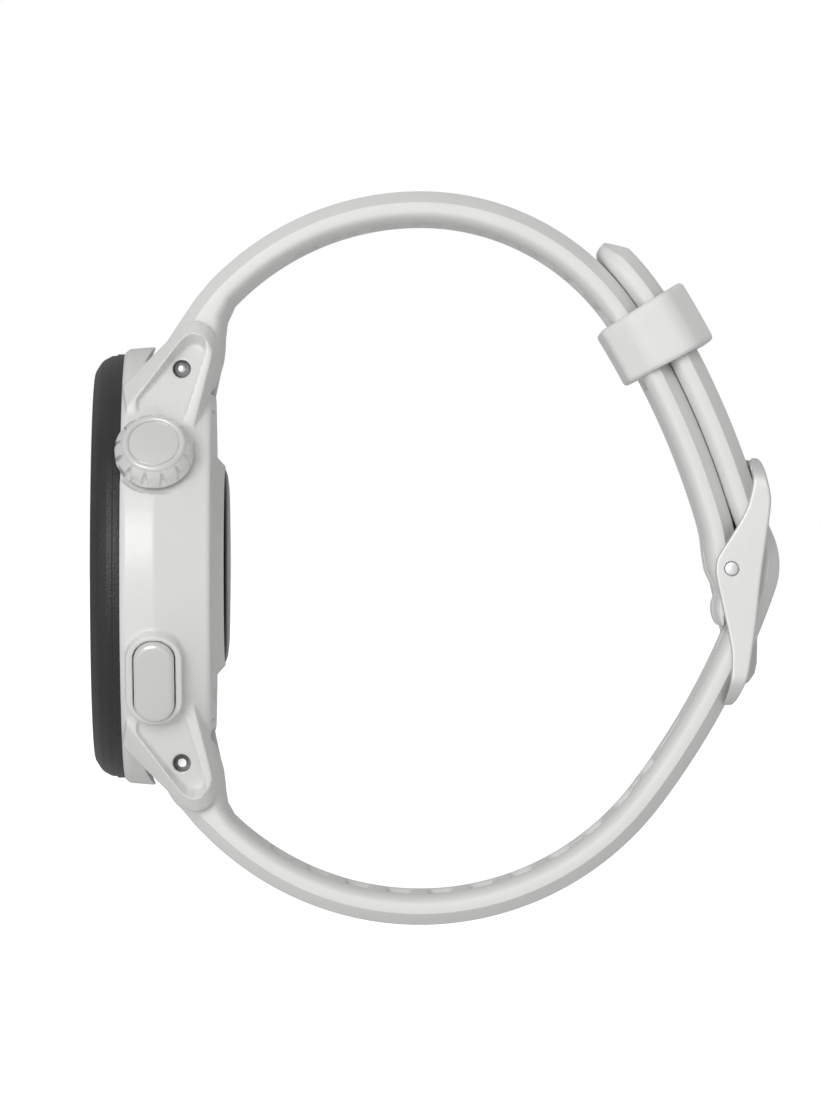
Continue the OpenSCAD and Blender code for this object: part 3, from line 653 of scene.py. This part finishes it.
def build_buckle():
    """The buckle's frame, its pin and its tongue."""
    bars = [plate_solid(fillet(bar, 0.3, 3), -10.9, 10.9, 0.1) for bar in (TOP_BAR, LOW_BAR)]
    frame_piece = make("buckle_frame_plate", merged(*bars, arm_solid(1), arm_solid(-1)),
                       "buckle_metal", "band", "buckle_frame")
    carve(frame_piece, [rod_solid(PIN, PIN_R + 0.1, *ends) for ends in ((12.6, 13.5), (-13.5, -12.6))])
    axle = rod_solid(PIN, PIN_R, -ARM_OUT - 0.04, ARM_OUT + 0.04, 0.08)
    make("buckle_axle", axle, "spring_steel", "band", "buckle_pin")
    eye = rod_solid(PIN, 1.2, -1.0, 1.0, 0.2, 32)
    blade = plate_solid(fillet(TONGUE, 0.3, 3), -1.0, 1.0, 0.25)
    tongue = make("buckle_tongue_blade", merged(blade, eye), "buckle_metal", "tongue",
                  "buckle_tongue")
    carve(tongue, [rod_solid(PIN, PIN_R + 0.05, -2, 2, n=32)])


# ---- case ------------------------------------------------------------------------------------


# The case's softening: the voxel size, in millimetres, the smoothing and the share of faces kept.
CASE_VOXEL, CASE_SMOOTH, CASE_PASSES, CASE_KEEP = 0.14, 0.5, 5, 0.35


def build_case():
    """The moulded case: the CAD solid with its edges softened."""
    obj = add_object("case_shell", NODES["case_body"].data.copy())
    weld = obj.modifiers.new("weld", "WELD")
    weld.merge_threshold = 0.001 * MM
    remesh = obj.modifiers.new("remesh", "REMESH")
    remesh.mode = "VOXEL"
    remesh.voxel_size = CASE_VOXEL * MM
    smooth = obj.modifiers.new("smooth", "SMOOTH")
    smooth.factor = CASE_SMOOTH
    smooth.iterations = CASE_PASSES
    thin = obj.modifiers.new("thin", "DECIMATE")
    thin.ratio = CASE_KEEP
    applied(obj)
    obj.data.shade_smooth()
    obj.data.set_sharp_from_angle(angle=math.radians(50))
    finish_piece(obj, "case_polymer", "watch", "case_body")


def build_dial():
    """The bezel ring and the glass in it."""
    bezel = [(16.4, 10.0), (20.25, 10.0), (20.25, 10.62), (20.12, 10.72), (20.08, 11.2),
             (19.6, 12.1), (18.5, 12.8), (17.02, 12.8), (17.02, 11.4), (16.4, 11.4)]
    radii = [0, 0.06, 0.08, 0.05, 0.6, 1.2, 0.9, 0.06, 0, 0]
    make("bezel", lathe(fillet(bezel, radii, 6)), "bezel_polymer", "watch", "bezel_ring",
         smooth_angle=30)
    glass = [(0, 11.56), (16.95, 11.56), (16.95, 12.7), (16.85, 12.79), (16.5, 12.8), (0, 12.8)]
    make("glass", solid_disc(glass), "dial_glass", "watch", "lens_glass")


def on_back(x, z):
    """Axes of a round hole in the rear cover."""
    return lambda u, v, w: (x + u, -w, z + v)


def build_back():
    """The rear cover with its screw and contact holes, and the dome of the sensor window."""
    cover = [(8.2, 1.32), (9.33, 1.32), (9.33, 0.42), (9.55, 0.42), (10.7, 1.46), (17.5, 1.46),
             (17.5, 2.5), (8.2, 2.5)]
    radii = [0, 0, 0.05, 0.12, 0.6, 0.15, 0, 0]
    obj = make("rear_cover", lathe(fillet(cover, radii, 5)), "cover_polymer", "watch",
               "back_cover", smooth_angle=30)
    cuts = [rounded_box((-20, -4, low), (20, 2, high), 0.05)
            for low, high in ((14.55, 20), (-20, -14.55))]
    for x in (-12.6, 12.6):
        for z in (-9.2, 9.2):
            cuts.append(solid_disc([(0.55, 1), (0.55, 4)], on_back(x, z), 32))
            cuts.append(solid_disc([(1.2, -1), (1.2, 2.1)], on_back(x, z), 48))
    cuts += [solid_disc([(0.66, -1), (0.66, 4)], on_back(x, -12.4), 32)
             for x in (-3.6, -1.2, 1.2, 3.6)]
    carve(obj, cuts, 30)
    window = [(0, 0.0), (5.4, 0.0), (7.6, 0.05), (8.6, 0.16), (9.1, 0.32), (9.29, 0.55),
              (9.3, 1.3), (0, 1.3)]
    make("sensor_dome", solid_disc(window), "sensor_black", "watch", "sensor_window")


# ---- crown and button ------------------------------------------------------------------------


def build_crown():
    """The crown's notched grip and the round insert in its face."""
    def grip(r, h, a):
        down = min(1.0, max(0.0, (22.8 - h) / 1.4))
        across = abs((a / (2 * math.pi) * 13 + 0.5) % 1 - 0.5) / (0.07 + 0.16 * down)
        rise = min(1, max(0, (h - 21.2) / 0.25)) * min(1, max(0, (22.75 - h) / 0.4))
        depth = 0.5 * max(0.0, 1 - across ** 3) * rise if r > 2.95 else 0.0
        return r - depth
    cap = [(0.8, 20.72), (3.45, 20.72), (3.7, 20.95), (3.7, 21.3), (3.7, 21.6), (3.7, 21.95),
           (3.55, 22.3), (3.3, 22.6), (3.05, 22.85), (2.98, 23.05), (2.82, 23.2), (2.55, 23.2),
           (2.42, 23.08), (2.40, 22.9), (0.8, 22.9)]
    radii = [0, 0.15, 0.1, 0, 0, 0.3, 0, 0, 0.1, 0.08, 0.08, 0.08, 0.05, 0, 0]
    make("crown_grip", lathe(fillet(cap, radii, 4), AT_CROWN, 312, grip), "crown_metal", "crown",
         "crown_cap", smooth_angle=32)
    face = [(0, 22.9), (2.33, 22.9), (2.33, 22.98), (2.28, 23.03), (1.8, 23.08), (1.2, 23.12),
            (0.6, 23.145), (0, 23.15)]
    make("crown_face", solid_disc(face, AT_CROWN), "crown_metal", "crown", "crown_insert")


def build_button():
    """The button's slot-shaped pad on its stem."""
    rings = []
    for d, w in ((0.35, 20.05), (0.1, 20.3), (0, 20.5), (0, 21.75), (0.05, 21.95), (0.16, 22.12),
                 (0.34, 22.22), (0.6, 22.25)):
        rings.append([AT_BUTTON(u, v, w) for u, v in racetrack(8.5 - 2 * d, 3.8 - 2 * d)])
    stem = solid_disc([(0.8, 15.5), (0.8, 18.2), (0.6, 18.2), (0.6, 18.6), (0.8, 18.6),
                       (0.8, 20.1)], AT_BUTTON, 48)
    make("button_pad", merged(loft(rings), stem), "crown_metal", "button", "button_cap")


# ---- what stays from the CAD model -----------------------------------------------------------


def dress_nodes():
    """Gives every CAD node the material that its record names."""
    slots = {s["node"]: s["material_slot"] for s in frame["record"]["subparts"]}
    for name, obj in NODES.items():
        obj.data.materials.clear()
        obj.data.materials.append(MATERIALS[slots[name]])


# ---- scene -----------------------------------------------------------------------------------


def area_light(name, place, aim, size, power):
    """A soft rectangular light at place that faces aim."""
    data = bpy.data.lights.new(name, "AREA")
    data.shape = "RECTANGLE"
    data.size, data.size_y = size
    data.energy = power
    obj = bpy.data.objects.new(name, data)
    obj.location = place
    obj.rotation_euler = (Vector(aim) - Vector(place)).to_track_quat("-Z", "Y").to_euler()
    bpy.context.scene.collection.objects.link(obj)


def build_stage():
    """The soft even light, brighter from above, the key light and the floor."""
    scene = bpy.context.scene
    scene.view_settings.view_transform = "Standard"
    world = bpy.data.worlds.new("studio")
    scene.world = world
    world.use_nodes = True
    nodes, links = world.node_tree.nodes, world.node_tree.links
    direction = nodes.new("ShaderNodeTexCoord")
    split = nodes.new("ShaderNodeSeparateXYZ")
    sky = nodes.new("ShaderNodeMapRange")
    sky.inputs["From Min"].default_value = -1.0
    sky.inputs["To Min"].default_value, sky.inputs["To Max"].default_value = 0.33, 0.5
    links.new(direction.outputs["Generated"], split.inputs["Vector"])
    links.new(split.outputs["Z"], sky.inputs["Value"])
    links.new(sky.outputs["Result"], nodes["Background"].inputs["Strength"])
    seen = nodes.new("ShaderNodeBackground")
    seen.inputs["Strength"].default_value = 1.0
    seen.inputs["Color"].default_value = (1, 1, 1, 1)
    nodes["Background"].inputs["Color"].default_value = (1, 1, 1, 1)
    path = nodes.new("ShaderNodeLightPath")
    mix = nodes.new("ShaderNodeMixShader")
    links.new(path.outputs["Is Camera Ray"], mix.inputs["Fac"])
    links.new(nodes["Background"].outputs["Background"], mix.inputs[1])
    links.new(seen.outputs["Background"], mix.inputs[2])
    links.new(mix.outputs["Shader"], nodes["World Output"].inputs["Surface"])
    area_light("key", (0.92, -0.29, 0.25), (0, 0.015, 0), (0.45, 0.45), 4.7)
    build_floor()


def build_floor():
    """A pale floor that still looks as white as the background where no shadow falls on it."""
    size, drop = 40.0, 0.045
    z = CAD_BOX[0][2] - drop
    corners = [(-size, -size, z), (size, -size, z), (size, size, z), (-size, size, z)]
    mesh = bpy.data.meshes.new("floor")
    mesh.from_pydata(corners, [], [(0, 1, 2, 3)])
    floor = add_object("floor", mesh)
    mat = node_material("floor", (0.85, 0.85, 0.85), 0.9, vary=0.01, bump=0.0, grain=0.05)
    nodes, links = mat.node_tree.nodes, mat.node_tree.links
    path = nodes.new("ShaderNodeLightPath")
    glow = nodes.new("ShaderNodeEmission")
    glow.inputs["Strength"].default_value = 0.75
    dark = nodes.new("ShaderNodeEmission")
    dark.inputs["Strength"].default_value = 0.0
    seen, total = nodes.new("ShaderNodeMixShader"), nodes.new("ShaderNodeAddShader")
    links.new(path.outputs["Is Camera Ray"], seen.inputs["Fac"])
    links.new(dark.outputs["Emission"], seen.inputs[1])
    links.new(glow.outputs["Emission"], seen.inputs[2])
    links.new(nodes["Principled BSDF"].outputs["BSDF"], total.inputs[0])
    links.new(seen.outputs["Shader"], total.inputs[1])
    links.new(total.outputs["Shader"], nodes["Material Output"].inputs["Surface"])
    mesh.materials.append(mat)


def build_camera():
    """A camera square on to the crown's side, framed to FRAME_HEIGHT metres at the middle."""
    data = bpy.data.cameras.new("camera")
    data.sensor_fit = "VERTICAL"
    data.angle = 2 * math.atan(FRAME_HEIGHT / 2 / CAMERA_X)
    data.clip_start, data.clip_end = 0.01, 50
    camera = bpy.data.objects.new("camera", data)
    camera.location = (CAMERA_X, CAMERA_Y, CAMERA_Z)
    camera.rotation_euler = (math.pi / 2, 0, math.pi / 2)
    bpy.context.scene.collection.objects.link(camera)
    bpy.context.scene.camera = camera


dress_nodes()
build_case()
build_dial()
build_back()
build_crown()
build_button()
build_straps()
build_upper_bar()
build_keeper()
build_buckle()
build_stage()
build_camera()
